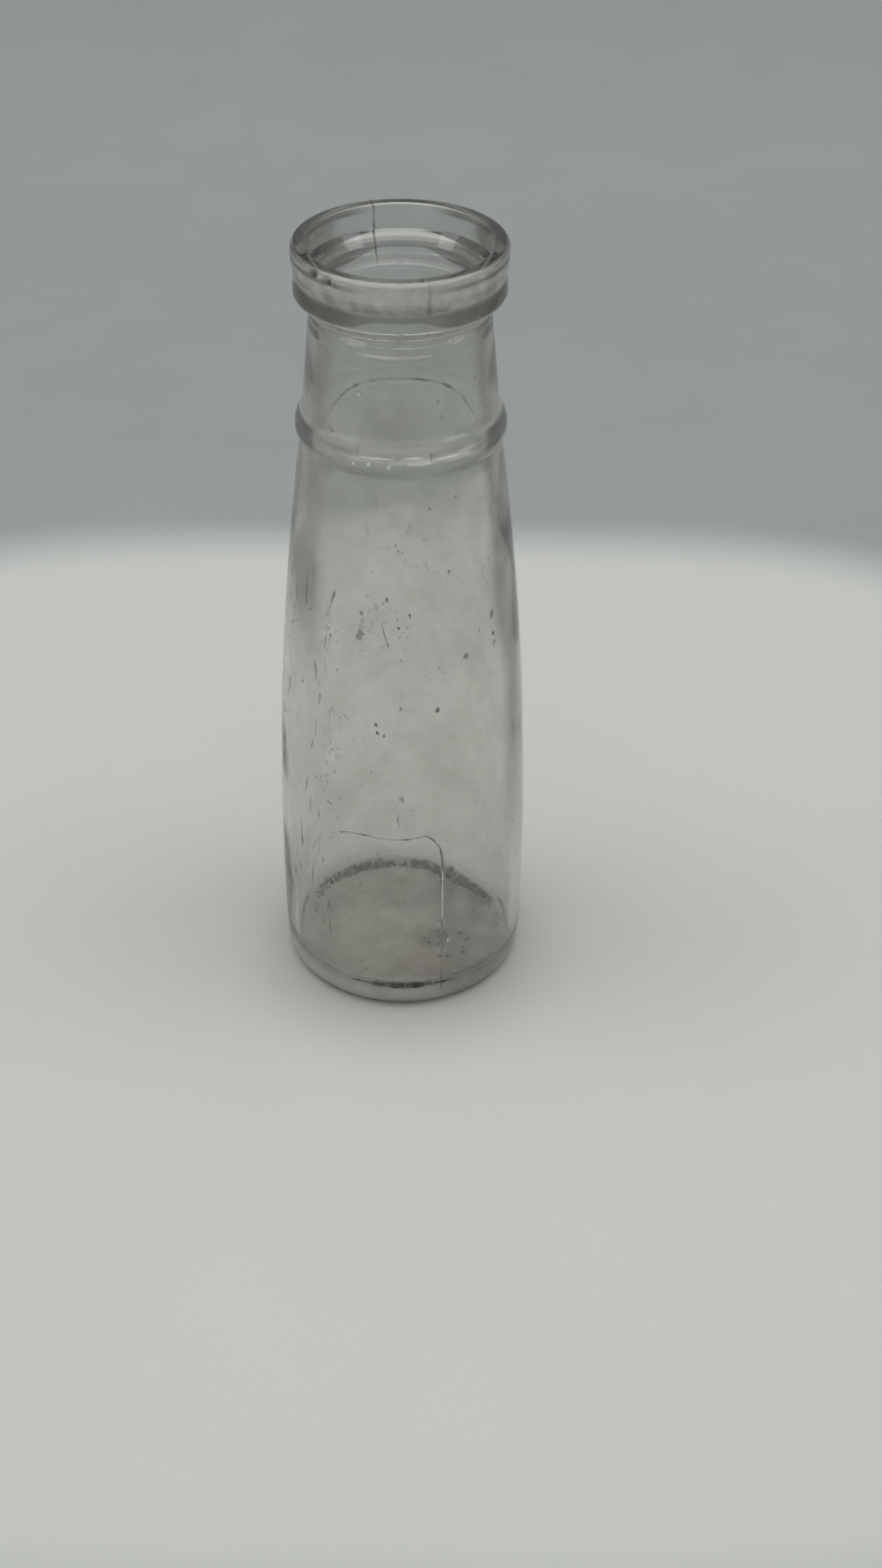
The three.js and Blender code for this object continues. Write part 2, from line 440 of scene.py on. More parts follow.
def seed_places():
    """Angle in degrees, height and radius of each bubble, in millimetres."""
    draw = random.Random(11).uniform
    return SEEDS_SEEN + [(draw(40, 320), draw(20, 200), draw(0.15, 0.3)) for _ in range(SEEDS_ELSEWHERE)]


def turn_glass():
    points, faces, angles = [], [], column_angles()
    rings = [[glass_point(angle, r, z) for angle in angles] for r, z in outline_out[1:]]
    rings += [[glass_point(angle, r, z, False) for angle in angles] for r, z in outline_in[:-1]]
    under, floor = Vector((0, 0, outline_out[0][1])), Vector((0, 0, outline_in[-1][1]))
    add_lump(points, faces, rings, under, floor)
    for degrees, height, radius in seed_places():
        z = height * MM
        add_seed(points, faces, around(radians(degrees), outer_radius(z) - SEED_DEPTH, z), radius * MM)
    return new_object("bottle_glass", points, faces)


bottle = turn_glass()
print("bottle faces:", len(bottle.data.polygons))

# %% [markdown]
# ## Patterns that the finishes share
# Haze, film, wear and dirt all come in cloudy patches, so one node group draws them: soft noise, cut off
# at a level that sets how much is covered. A second group gives the fine grain of a dry surface. As
# groups they can be tuned in each finish without being built again. First come short ways to add nodes.
# Each helper works in the node tree that its first socket belongs to.

# %% Make short ways to add nodes
def feed(socket, value):
    if isinstance(value, bpy.types.NodeSocket):
        socket.id_data.links.new(value, socket)
    else:
        socket.default_value = value


def add_node(tree, kind, settings=None, **inputs):
    """A node with its settings; each input is a value or another node's output."""
    node = tree.nodes.new(kind)
    for name, value in (settings or {}).items():
        setattr(node, name, value)
    for name, value in inputs.items():
        feed(node.inputs[name.replace("_", " ")], value)
    return node


def maths(operation, result, *others):
    """A sum, a product and so on of two or more values."""
    for other in others or (0.0,):
        node = add_node(result.id_data, "ShaderNodeMath", {"operation": operation})
        feed(node.inputs[0], result)
        feed(node.inputs[1], other)
        result = node.outputs["Value"]
    return result


def times(*values):
    return maths("MULTIPLY", *values)


def most(*values):
    return maths("MAXIMUM", *values)


def vector(operation, output, first, second):
    node = add_node(first.id_data, "ShaderNodeVectorMath", {"operation": operation})
    feed(node.inputs[0], first)
    feed(node.inputs[1], second)
    return node.outputs[output]


def ramp(value, low, high, start=0.0, end=1.0):
    """A soft step from the start value to the end value."""
    limits = {"From_Min": low, "From_Max": high, "To_Min": start, "To_Max": end}
    soft = {"interpolation_type": "SMOOTHSTEP"}
    return add_node(value.id_data, "ShaderNodeMapRange", soft, Value=value, **limits).outputs["Result"]


def band(value, low, high, soft):
    """One between two levels, nought outside them."""
    rise = ramp(value, low - soft, low + soft)
    return times(rise, ramp(value, high - soft, high + soft, 1, 0))


def mix(factor, first, second, kind="FLOAT"):
    node = add_node(factor.id_data, "ShaderNodeMix", {"data_type": kind}, Factor=factor, A=first, B=second)
    return node.outputs["Result"]


def blend(factor, first, second):
    return mix(factor, first, second, "RGBA")


def object_place(tree):
    return add_node(tree, "ShaderNodeTexCoord").outputs["Object"]


def parts(tree):
    """X, Y and Z of a place on the object."""
    return add_node(tree, "ShaderNodeSeparateXYZ", Vector=object_place(tree)).outputs


def from_axis(tree):
    flat = vector("MULTIPLY", "Vector", object_place(tree), (1, 1, 0))
    return vector("LENGTH", "Value", flat, (0, 0, 0))


def new_material(name, **values):
    material = bpy.data.materials.new(name)
    material.use_nodes = True
    shader = material.node_tree.nodes["Principled BSDF"]
    for label, value in values.items():
        shader.inputs[label.replace("_", " ")].default_value = value
    return material, material.node_tree, shader.inputs


helpers = (maths, times, most, vector, ramp, band, mix, blend)
print("ways to work with masks:", ", ".join(helper.__name__ for helper in helpers))


# %% Make the shared patterns
def new_group(name, inputs, output):
    group = bpy.data.node_groups.new(name, "ShaderNodeTree")
    kind = "NodeSocketFloat"
    for label, value in inputs.items():
        group.interface.new_socket(label, in_out="INPUT", socket_type=kind).default_value = value
    group.interface.new_socket(output, in_out="OUTPUT", socket_type=kind)
    given = group.nodes.new("NodeGroupInput").outputs
    return group, given, group.nodes.new("NodeGroupOutput").inputs


def make_cloudy_patches():
    inputs = {"Scale": 60, "Upright": 1, "Level": 0.5, "Softness": 0.1, "Detail": 5}
    group, given, out = new_group("cloudy_patches", inputs, "Mask")
    height = times(given["Scale"], given["Upright"])
    stretch = add_node(group, "ShaderNodeCombineXYZ", X=given["Scale"], Y=given["Scale"], Z=height)
    place = vector("MULTIPLY", "Vector", object_place(group), stretch.outputs["Vector"])
    shape = {"Scale": 1.0, "Detail": given["Detail"], "Roughness": 0.6}
    cloud = add_node(group, "ShaderNodeTexNoise", Vector=place, **shape)
    low = maths("SUBTRACT", given["Level"], given["Softness"])
    high = maths("ADD", given["Level"], given["Softness"])
    feed(out["Mask"], ramp(cloud.outputs["Fac"], low, high))
    return group


def make_fine_grain():
    group, given, out = new_group("fine_grain", {"Scale": 900}, "Height")
    place = object_place(group)
    coarse = add_node(group, "ShaderNodeTexNoise", Vector=place, Scale=given["Scale"], Detail=4.0)
    feed(out["Height"], coarse.outputs["Fac"])
    return group


CLOUDY_PATCHES, FINE_GRAIN = make_cloudy_patches(), make_fine_grain()


def clouds(tree, scale, level, softness, upright=1.0, detail=5.0):
    values = {"Scale": scale, "Upright": upright, "Level": level, "Softness": softness, "Detail": detail}
    return add_node(tree, "ShaderNodeGroup", {"node_tree": CLOUDY_PATCHES}, **values).outputs["Mask"]


def patchy(tree, low, high, *shape, **more):
    """Cloudy patches between two values."""
    return ramp(clouds(tree, *shape, **more), 0, 1, low, high)


def grain_normal(tree, scale, depth):
    """A normal roughened by the fine grain."""
    node = add_node(tree, "ShaderNodeGroup", {"node_tree": FINE_GRAIN}, Scale=scale)
    bump = add_node(tree, "ShaderNodeBump", Strength=0.6, Distance=depth, Height=node.outputs["Height"])
    return bump.outputs["Normal"]


def dress(piece, material):
    piece.data.materials.append(material)
    print(piece.name, "faces:", len(piece.data.polygons))


def make_dull(name, roughness, tones, patches, grain, cover=None):
    """A dull finish in two tones, with a grain and, where it's thin, a broken cover."""
    material, tree, shader = new_material(name, Roughness=roughness)
    feed(shader["Base Color"], blend(clouds(tree, *patches), *tones))
    feed(shader["Normal"], grain_normal(tree, *grain))
    if cover:
        feed(shader["Alpha"], patchy(tree, *cover))
    return material


print("shared groups:", CLOUDY_PATCHES.name, "and", FINE_GRAIN.name)

# %% [markdown]
# ## Clear glass
# Soda-lime glass bends light by an index of about 1.52 and takes a little of it away. A Principled shader
# with full transmission does both. Where the wall turns away from the eye the glass looks darker, so a
# Layer Weight and masks by place paint shade into the colour of the steep edges, for camera rays only:
# most on the right wall and upper left one, then the collar, the ends of the bead and the lip's inner rim.
# The outside of the lip is frosted by years of caps and crates. A faint haze lies over the body, and a
# little more of it just below the bead.

# %% Find where shade is painted on the edges of the glass
LEFT_EDGE_HEIGHTS, RIGHT_EDGE_HEIGHTS, NECK_EDGE_HEIGHTS = mm(104, 138), mm(35, 90), mm(140, 166)
RIGHT_TURN_HEIGHTS = mm(106, 130)
BEAD_LIMB, BEAD_FLANK = mm(173.6, 181.6), mm(178.2, 180.8)
COLLAR_SHADE_FOOT, COLLAR_SHADE_TOP = mm(217.3, 214.6), mm(219.3, 219.9)
INNER_RIM, INNER_RIM_HEIGHTS = mm(26.5, 27.3), mm(224.5, 226.5)


def wall_edge_shade(facing, x, z):
    """Painted shade on the steep left and right sides of the body and the neck."""
    left = times(
        ramp(facing, 0.28, 0.46, 0, 0.9),
        ramp(z, *LEFT_EDGE_HEIGHTS), ramp(z, *NECK_EDGE_HEIGHTS, 1, 0.55),
    )
    turned = maths("SUBTRACT", facing, ramp(z, *RIGHT_TURN_HEIGHTS, 0.11, 0))
    right = times(
        ramp(turned, 0.38, 0.54), ramp(turned, 0.58, 0.82, 1, 0.4),
        ramp(z, *RIGHT_EDGE_HEIGHTS), ramp(z, *NECK_EDGE_HEIGHTS, 0.95, 0.75),
    )
    return mix(ramp(x, *mm(-4, 4)), left, right)


def mouth_edge_shade(tree, x, y, z):
    """Painted shade on the band round the collar, and on the inner rim of the lip at the back."""
    across = maths("ABSOLUTE", x)
    above = maths("SUBTRACT", z, ramp(across, *mm(5, 15), *COLLAR_SHADE_FOOT))
    collar = times(
        ramp(above, *mm(-0.4, 0.4)), ramp(z, *COLLAR_SHADE_TOP, 1, 0),
        ramp(across, *mm(8, 15), 0.74, 0.96),
    )
    rim = times(
        ramp(from_axis(tree), *INNER_RIM, 1, 0), ramp(z, *INNER_RIM_HEIGHTS),
        ramp(y, *mm(-10, 0), 1, 0), ramp(across, *mm(3, 15), 0.2, 0.8),
    )
    return most(collar, rim)


def bead_edge_shade(facing, x, z):
    """Painted shade at the two ends of the bead and along its upper side."""
    ends = ramp(maths("ABSOLUTE", x), *mm(20.5, 23.5))
    limb = times(ends, band(z, *BEAD_LIMB, 0.6 * MM), ramp(facing, 0.22, 0.42))
    sides = most(ramp(x, *mm(-16, -9), 0.5, 0), ramp(x, *mm(17, 21), 0, 0.5))
    return most(limb, times(sides, band(z, *BEAD_FLANK, 0.5 * MM)))


print("edges darken from, mm:", [round(low / MM) for low, _ in (LEFT_EDGE_HEIGHTS, RIGHT_EDGE_HEIGHTS)])

# %% Make the glass finish
# The edge colour after the clear one is the painted shade that the edge masks put into the glass.
CLEAR_TINT, EDGE_SHADE_TINT, HAZE_TINT = (0.953, 0.954, 0.932, 1), (0.15, 0.145, 0.135, 1), (0.74, 0.74, 0.71, 1)
DEPTH_TINT, DEPTH_DENSITY = (0.80, 0.80, 0.77, 1), 70
SHOULDER_HAZE, HAZE_SHARE = mm(152, 164), 0.3
FROST_HEIGHTS, FROST_RADIUS = mm(219.6, 226.4), mm(27.2, 27.4)
POLISHED, FROSTED = 0.015, 0.17


def make_clear_glass():
    material, tree, shader = new_material("clear_glass", IOR=1.52, Transmission_Weight=1.0, Metallic=0.0)
    x, y, z = parts(tree)
    facing = add_node(tree, "ShaderNodeLayerWeight", Blend=0.5).outputs["Facing"]
    edges = wall_edge_shade(facing, x, z), mouth_edge_shade(tree, x, y, z), bead_edge_shade(facing, x, z)
    seen = add_node(tree, "ShaderNodeLightPath").outputs["Is Camera Ray"]
    shoulder = times(band(z, *SHOULDER_HAZE, 6 * MM), HAZE_SHARE)
    haze = maths("ADD", times(clouds(tree, 70, 0.52, 0.14), HAZE_SHARE), shoulder)
    tint = blend(haze, CLEAR_TINT, HAZE_TINT)
    # Painted shade: where the edge masks say so, the glass takes the dark edge colour for camera rays.
    feed(shader["Base Color"], blend(times(most(*edges), seen), tint, EDGE_SHADE_TINT))

    lip = times(band(z, *FROST_HEIGHTS, 0.4 * MM), ramp(from_axis(tree), *FROST_RADIUS))
    frost = times(lip, clouds(tree, 160, 0.42, 0.16))
    feed(shader["Roughness"], ramp(frost, 0, 1, POLISHED, FROSTED))

    depth = add_node(tree, "ShaderNodeVolumeAbsorption", Color=DEPTH_TINT, Density=DEPTH_DENSITY)
    tree.links.new(depth.outputs["Volume"], tree.nodes["Material Output"].inputs["Volume"])
    return material


bottle.data.materials.append(make_clear_glass())
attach(bottle, "root")
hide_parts("base", "heel", "body", "neck_ring", "neck", "collar", "lip")
print("glass nodes:", len(bottle.active_material.node_tree.nodes))

# %% [markdown]
# ## Dry film on the floor
# Milk that was never washed out has dried to a dull grey film with a brown stain and a pinkish patch. It
# could be painted into the glass's own colour, but the glass is clear and the film isn't. So it's a skin
# of its own, a hair's breadth above the floor, that thins out where the floor turns up into the wall.

# %% Lay the film
FILM_LIFT = 0.04 * MM
FILM_TONES = (0.595, 0.59, 0.515, 1), (0.44, 0.435, 0.385, 1), (0.275, 0.27, 0.235, 1)
STAIN_TONE, PINK_TONE, SPECK_TONE = (0.15, 0.115, 0.085, 1), (0.39, 0.31, 0.275, 1), (0.08, 0.075, 0.065, 1)
STAIN_SPOT, PINK_SPOT = (*mm(9.9, -8.1), FLOOR), (*mm(6, -20), FLOOR)


def make_dry_film():
    material, tree, shader = new_material("dry_film", Roughness=0.7)
    x, _, z = parts(tree)
    ragged = times(clouds(tree, 260, 0.5, 0.25), 3 * MM)

    def spot(centre, inner, outer, share):
        distance = maths("ADD", vector("DISTANCE", "Value", object_place(tree), centre), ragged)
        return times(ramp(distance, *mm(inner, outer), 1, 0), share)

    tone = blend(clouds(tree, 85, 0.52, 0.16), *FILM_TONES[:2])
    darker = times(ramp(x, *mm(2, 16), 0, 0.8), patchy(tree, 0.5, 1, 150, 0.47, 0.12))
    tone = blend(darker, tone, FILM_TONES[2])
    tone = blend(spot(PINK_SPOT, 6, 14, 0.55), tone, PINK_TONE)
    tone = blend(spot(STAIN_SPOT, 3.5, 8, 0.65), tone, STAIN_TONE)
    tone = blend(clouds(tree, 420, 0.68, 0.03), tone, SPECK_TONE)
    feed(shader["Base Color"], tone)
    feed(shader["Normal"], grain_normal(tree, 900, 0.1 * MM))
    rise = ramp(z, FLOOR + 0.3 * MM, FLOOR + 2.2 * MM, 1, 0)
    feed(shader["Alpha"], times(rise, patchy(tree, 0.75, 1, 120, 0.35, 0.2)))
    return material


def lay_film():
    count = 96
    rings = [(r, FLOOR + FILM_LIFT) for r in spread(0.0, FLOOR_RADIUS, 12)[1:-1]]
    rings += corner(FLOOR_RADIUS, FILLET_TOP, FLOOR_FILLET - FILM_LIFT, -90, -30)
    points = [around(angle, *ring) for ring in rings for angle in full_turn(count)]
    middle = len(points)
    points.append(Vector((0, 0, FLOOR + FILM_LIFT)))
    faces = [face[::-1] for face in join_rings(len(rings), count)]
    faces += [(middle, column, (column + 1) % count) for column in range(count)]
    return new_object("milk_film", points, faces)


film = lay_film()
dress(film, make_dry_film())
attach(film, "root")

# %% [markdown]
# ## Crust in the corner of the floor
# Where the floor turns up into the wall a brush doesn't reach, so the dirt stayed there as a ring of dark
# crumbs, thick at the back and to the right, and as a line along the front. A few more lie on the floor
# and beside the stain. Each crumb is a small lumpy flake of its own. A bump on the film would look
# painted on.

# %% Scatter the crust
CRUST_BATCHES = [
    # middle and spread of the angle in degrees, crumbs, size in millimetres, place on the fillet in degrees
    (147, 16, 56, 2.2, (54, 90)),
    (167, 10, 34, 1.6, (62, 90)),
    (126, 18, 40, 1.5, (52, 90)),
    (106, 22, 26, 0.8, (56, 90)),
    (192, 18, 40, 1.2, (66, 90)),
    (214, 24, 84, 1.5, (58, 90)),
    (244, 22, 40, 0.9, (62, 90)),
    (2, 38, 90, 0.8, (56, 72)),
    (1, 15, 80, 1.2, (24, 46)),
    (42, 28, 36, 0.7, (56, 74)),
]
FLOOR_CRUMBS, STAIN_CRUMBS = 40, 22
CRUST_TONES = (0.028, 0.027, 0.025, 1), (0.13, 0.125, 0.11, 1)


def fillet_frame(angle, slope):
    """Place and axes on the fillet of the floor: slope 90 is its foot, 0 its top."""
    tilt = radians(slope)
    height = FLOOR + FLOOR_FILLET * (1 - sin(tilt))
    spot = around(angle, FLOOR_RADIUS + FLOOR_FILLET * cos(tilt), height)
    normal = around(angle, -cos(tilt), sin(tilt))
    side = around(angle + pi / 2, 1.0, 0.0)
    return spot, side, normal.cross(side), normal


def add_flake(points, faces, frame_axes, size, chance):
    """A lumpy flake: a ragged foot, a smaller ring above it and a top."""
    spot, side, along_side, normal = frame_axes
    long, high = chance.uniform(0.7, 1.5), chance.uniform(0.25, 0.5)
    rings = [], []
    for ring, share, lift in zip(rings, (1.0, 0.6), (-0.1, high)):
        for turn in full_turn(9):
            reach = size / 2 * share * chance.uniform(0.65, 1.2)
            flat = side * (cos(turn) * long) + along_side * (sin(turn) / long)
            ring.append(spot + flat * reach + normal * (size * lift * chance.uniform(0.7, 1.2)))
    add_lump(points, faces, rings, spot - normal * (size * 0.12), spot + normal * (size * high * 1.15))


def scatter_crust():
    points, faces = [], []
    chance = random.Random(5)
    for middle, reach, count, size, slopes in CRUST_BATCHES:
        for _ in range(count):
            angle = radians(chance.gauss(middle, reach / 2))
            place = fillet_frame(angle, chance.uniform(*slopes))
            add_flake(points, faces, place, size * MM * chance.uniform(0.5, 1.3), chance)
    level = Vector((1, 0, 0)), Vector((0, 1, 0)), Vector((0, 0, 1))
    for _ in range(FLOOR_CRUMBS):
        spot = around(chance.uniform(0, 2 * pi), FLOOR_RADIUS * sqrt(chance.random()), FLOOR)
        add_flake(points, faces, (spot, *level), chance.uniform(0.2, 0.6) * MM, chance)
    for _ in range(STAIN_CRUMBS):
        spot = Vector(STAIN_SPOT) + Vector((chance.gauss(4.5, 3.5), chance.gauss(1.0, 3.5), 0)) * MM
        add_flake(points, faces, (spot, *level), chance.uniform(0.8, 1.7) * MM, chance)
    return new_object("residue_crust", points, faces, smooth=False)


crust = scatter_crust()
dress(crust, make_dull("dark_crust", 0.9, CRUST_TONES, (500, 0.5, 0.15), (2500, 0.1 * MM)))
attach(crust, "root")

# %% [markdown]
# ## Wear under the base
# A returnable bottle stands, slides and is dragged on one ring all its life, so that ring is ground to a
# pale frost. Frost on the glass itself would need the surface roughened there; a thin pale ring just
# inside it does the same and catches the light that is trapped in the thick heel, as the real frost does.

# %% Frost the bearing ring
WEAR_SINK, WEAR_COLUMNS = 0.03 * MM, 120
WEAR_TONES = (0.56, 0.565, 0.54, 1), (0.40, 0.405, 0.385, 1)
WEAR_COVER = (0.5, 0.9, 130, 0.45, 0.15)

rings = [(r, WEAR_SINK) for r in spread(BEARING_INNER + 0.2 * MM, BEARING_OUTER - 0.1 * MM, 4)]
wear = turned_skin("bearing_wear", rings, WEAR_COLUMNS, around)
ground = make_dull("ground_glass", 0.8, WEAR_TONES, (180, 0.5, 0.2), (1500, 0.05 * MM), WEAR_COVER)
dress(wear, ground)
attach(wear, "root")

# %% [markdown]
# ## Bloom on the outside
# A bottle that went round for years loses its polish: crates rub the heel and the lip white, and washing
# leaves a milky bloom on the wall. A rough glass shader would only blur what is behind it, while the bloom
# also scatters light of its own. So it's a thin skin just outside the glass, nearly clear, with a weight by
# height. It is partly painted light: heavier at the sides of the neck, on the left front flank, at the
# front of the neck and the lip and low on the heel. A painted shade line runs along the sides of the lip's
# crest.

# %% Weigh the bloom and its painted light
# The heavy weights low on the heel are partly painted light.
BLOOM_WEIGHTS = [
    # height in millimetres and weight
    (0.5, 0.40), (2.5, 0.68), (6.0, 0.64), (9.0, 0.42), (12.0, 0.17), (110.0, 0.17), (150.0, 0.22),
    (172.0, 0.21), (174.5, 0.12), (180.5, 0.12), (183.0, 0.17), (210.8, 0.16), (211.6, 0.30), (214.2, 0.30),
    (215.4, 0.05), (218.8, 0.02), (220.0, 0.46), (223.5, 0.46), (225.6, 0.38), (226.8, 0.22), (227.9, 0.10),
]
FLANK_REACH, FLANK_HEIGHTS = mm(-34.6, -30.4), mm(16, 46)
LIMB_HEIGHTS = mm(152, 210)
NECK_TAPER = (NECK_FOOT_RADIUS - NECK_TOP_RADIUS) / (COLLAR_FOOT - BEAD_TOP)


def weight_by_height(z):
    """The weights along the bottle's height, on a colour ramp."""
    weights = add_node(z.id_data, "ShaderNodeValToRGB", Fac=maths("DIVIDE", z, LIP_TOP))
    marks = weights.color_ramp.elements
    for number, (height, weight) in enumerate(BLOOM_WEIGHTS):
        mark = marks[number] if number < 2 else marks.new(1.0)
        mark.position = height * MM / LIP_TOP
        mark.color = (weight, weight, weight, 1)
    return weights.outputs["Color"]


def painted_light_by_side(across, y, z):
    """Painted light: more of the skin at the front of the neck and the lip than at the back."""
    lip = most(ramp(y, *mm(-24, -6), 1.3, 0.12), ramp(across, *mm(17, 23), 0.12, 0.9))
    front = mix(ramp(z, *mm(215, 218)), ramp(y, *mm(0, 10), 1.1, 0.3), lip)
    return mix(ramp(z, SWEEP_FOOT, SWEEP_FOOT + MM), 1.0, front)


def heel_weight(x, y, z):
    """Less bloom at the right and the back of the heel."""
    heel = times(ramp(x, *mm(4, 20), 1, 0.68), ramp(y, *mm(-8, 12), 1, 0.3))
    return mix(ramp(z, *mm(10, 14)), heel, 1.0)


def bloom_and_light_cover(tree, x, y, z):
    """How much of the glass the skin hides: bloom, with painted light at the limbs, the flank and the heel.
    """
    across = maths("ABSOLUTE", x)
    coarse = patchy(tree, 0.35, 0.8, 75, 0.5, 0.2, detail=2)
    fine = patchy(tree, 0.15, 0.65, 260, 0.5, 0.35, detail=2)
    patches = mix(ramp(z, *mm(8, 22)), 0.95, maths("ADD", coarse, fine))
    # Painted light: the skin is much heavier at the sides of the neck and much thinner at the ends of the
    # bead.
    taper = times(maths("SUBTRACT", z, BEAD_TOP), NECK_TAPER)
    limb = ramp(maths("ADD", across, taper), *mm(22, 24.6))
    limb = times(limb, band(z, *LIMB_HEIGHTS, 4 * MM))
    bead = mix(band(z, *BEAD_LIMB, 0.6 * MM), 2.2, 0.15)
    worn = times(
        weight_by_height(z), mix(limb, patches, 0.9), painted_light_by_side(across, y, z),
        mix(limb, 1.0, bead), heel_weight(x, y, z),
    )
    # Painted light: a patchy pale layer on the left front flank.
    flank = times(
        ramp(x, *FLANK_REACH, 0.6, 0), band(z, *FLANK_HEIGHTS, 14 * MM),
        ramp(y, *mm(-10, -1), 1, 0), clouds(tree, 110, 0.5, 0.16),
    )
    return most(worn, flank)


print("bloom weights:", len(BLOOM_WEIGHTS), "from", BLOOM_WEIGHTS[0][0], "to", BLOOM_WEIGHTS[-1][0], "mm")

# %% Wrap the bloom round
BLOOM_LIFT, BLOOM_COLUMNS = 0.03 * MM, 144
BLOOM_TONES, CREST_SHADE_TONE = ((0.81, 0.80, 0.755, 1), (0.67, 0.66, 0.615, 1)), (0.13, 0.13, 0.12, 1)
CREST_SHADE_BAND = mm(224.7, 226)


def make_bloom_and_painted_light():
    material, tree, shader = new_material("bloom_and_painted_light", Roughness=0.5)
    x, y, z = parts(tree)
    # Painted shade: a dark line along the crest of the lip, at its sides.
    sides = ramp(maths("ABSOLUTE", x), *mm(6, 17), 0, 0.85)
    line = times(band(z, *CREST_SHADE_BAND, 0.35 * MM), sides)
    tone = blend(clouds(tree, 120, 0.5, 0.2), *BLOOM_TONES)
    feed(shader["Base Color"], blend(line, tone, CREST_SHADE_TONE))
    feed(shader["Normal"], grain_normal(tree, 1500, 0.03 * MM))
    feed(shader["Alpha"], most(bloom_and_light_cover(tree, x, y, z), times(line, 0.7)))
    return material


rings = [(r, z) for r, z in outline_out if r > BEARING_OUTER + 0.3 * MM or z > HEEL_HEIGHT]
rings = [(r + BLOOM_LIFT, z) for r, z in rings if z < CREST_FOOT]
rings += corner(CREST_RADIUS, CREST_FOOT, LIP_CREST + BLOOM_LIFT, 0, 70, 9)
bloom = turned_skin("bloom_and_painted_light", rings, BLOOM_COLUMNS, glass_point)
dress(bloom, make_bloom_and_painted_light())
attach(bloom, "root")

# %% [markdown]
# ## Wear and painted shade inside the mouth
# The ledge inside the mouth slopes down to the throat, and each closing disc was pressed onto it and
# prised off again. That has rubbed its inner edge pale. The grey over the ledge at its sides is painted
# shade, and the rim is a little greyer at the back on both sides. Roughness alone would leave it clear,
# so it's a thin skin just under the surface, from the crest of the lip down to the throat.

# %% Grey the mouth
MOUTH_SINK, MOUTH_COLUMNS = 0.04 * MM, 144
MOUTH_SHADE_TONES, MOUTH_EDGE = ((0.60, 0.60, 0.57, 1), (0.42, 0.42, 0.39, 1)), (0.88, 0.88, 0.85, 1)


def make_worn_and_shaded_mouth():
    material, tree, shader = new_material("mouth_shade_and_wear", Roughness=0.7)
    x, y, z = parts(tree)
    across = maths("ABSOLUTE", x)
    edge = ramp(from_axis(tree), *mm(21.7, 22.5), 1, 0)
    tone = blend(clouds(tree, 200, 0.5, 0.2), *MOUTH_SHADE_TONES)
    feed(shader["Base Color"], blend(edge, tone, MOUTH_EDGE))
    feed(shader["Normal"], grain_normal(tree, 1500, 0.03 * MM))
    # Painted shade: grey skin over the sides of the ledge; its pale inner edge is wear.
    seat = times(ramp(across, *mm(10, 16)), mix(edge, 0.5, 0.95))
    rim = times(ramp(across, *mm(13, 20), 0, 0.3), ramp(y, *mm(-8, 0)))
    worn = mix(ramp(z, CAP_SEAT, CAP_SEAT + MM), seat, rim)
    feed(shader["Alpha"], times(worn, patchy(tree, 0.7, 1, 150, 0.45, 0.2)))
    return material


crest = spread(CREST_RADIUS, POCKET_RADIUS + POCKET_EDGE, 3)[:-1]
rings = [(r, LIP_TOP - MOUTH_SINK) for r in crest]
rings += corner(POCKET_RADIUS + POCKET_EDGE, LIP_TOP - POCKET_EDGE, POCKET_EDGE - MOUTH_SINK, 90, 180)
rings += [(POCKET_RADIUS + MOUTH_SINK, CAP_SEAT + SEAT_CORNER)]
rings += [bevel_point(share, MOUTH_SINK) for share in spread(0.02, 0.98, 6)]
mouth = turned_skin("mouth_wear_and_shade", rings, MOUTH_COLUMNS, around)
dress(mouth, make_worn_and_shaded_mouth())
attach(mouth, "root")

# %% [markdown]
# ## Scuffs, pits and dirt on the wall
# Crates, brushes and gravel have left upright scratches, mostly on the left side, short scuffs all round,
# and patches of pits that hold dirt. A fine line crosses the front low down and runs into the mould seam.
# Dirt also sits in the chips of the lip and on the far seam of the mouth, and dark strips run along the
# front of the heel and round the bore behind the bead. A bump would hardly show on clear glass, so the
# marks are thin strips and dabs that lie on it, placed by a seeded dice, so they're the same in each run.

# %% Draw strips, scratches and dabs
MARK_LIFT, MARK_LIMIT = mm(0.05, 35.9)


def wall_spot(angle, height):
    height = min(height, LIP_TOP - MARK_LIFT)
    return glass_point(angle, outer_radius(height) + MARK_LIFT, height)


def bore_spot(angle, height):
    return glass_point(angle, bore_radius(height) - MARK_LIFT, height, False)


